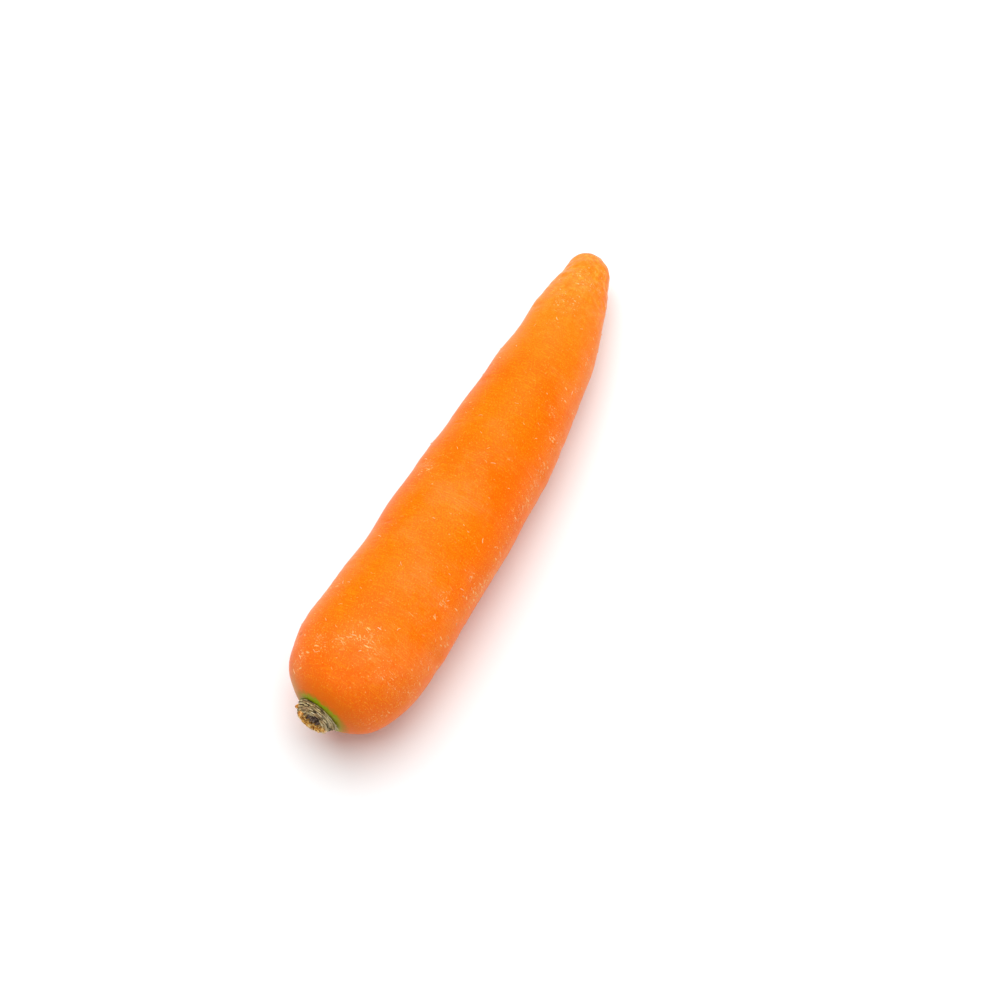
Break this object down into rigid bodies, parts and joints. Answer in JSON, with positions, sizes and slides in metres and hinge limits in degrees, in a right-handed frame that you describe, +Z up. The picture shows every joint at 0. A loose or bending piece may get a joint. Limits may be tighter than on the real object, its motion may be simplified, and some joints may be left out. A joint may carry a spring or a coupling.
{
  "type": "carrot",
  "caption": "Whole tapered carrot root lying on its side, with a rounded crown, the cut stub of its leaf stalks and a blunt tip.",
  "frame": {"origin": "on the surface that the carrot rests on, under the middle of its bounding box", "axes": "+X along the root from the crown to the tip, +Z up from the surface that it rests on; the root bows towards -Y"},
  "size_m": [0.1964, 0.0452, 0.0428],
  "materials": {
    "carrot_skin": "satin",
    "dry_stalk": "matte"
  },
  "bodies": {
    "root": {"taproot": "carrot_skin", "leaf_stalk_stub": "dry_stalk"}
  },
  "joints": []
}
